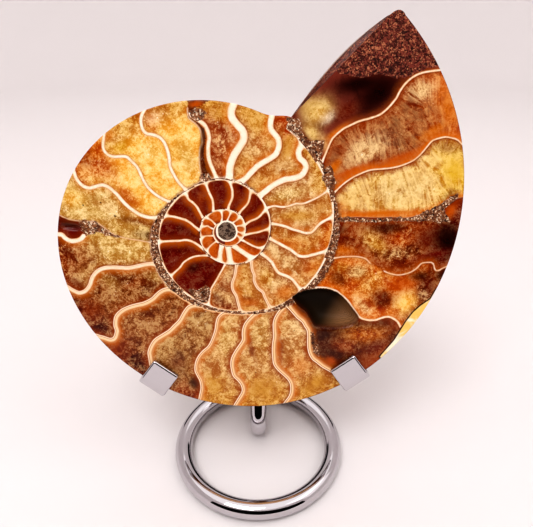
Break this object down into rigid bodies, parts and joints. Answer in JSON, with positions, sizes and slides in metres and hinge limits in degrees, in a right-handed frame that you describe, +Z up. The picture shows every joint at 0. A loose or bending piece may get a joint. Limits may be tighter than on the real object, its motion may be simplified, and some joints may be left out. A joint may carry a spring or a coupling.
{
  "type": "ammonite fossil half on a chrome ring stand",
  "caption": "Cut and polished half of an ammonite fossil, leaning back on a chrome stand with a ring foot, a bent rod and flat spring clips.",
  "frame": {"origin": "under the middle of the part's bounding box, on the surface it stands on", "axes": "+Z up; the polished cut face looks towards -Y and leans back by 14.3 degrees; +X to the viewer's right"},
  "size_m": [0.1028, 0.0554, 0.1193],
  "materials": {
    "fossil_stone": "polished calcite and shell, amber to dark brown",
    "chrome": "mirror polish"
  },
  "bodies": {
    "root": {"ammonite_half": "fossil_stone", "ring_base": "chrome", "stem": "chrome", "clip_left": "chrome", "clip_right": "chrome", "rivet": "chrome"}
  },
  "joints": []
}
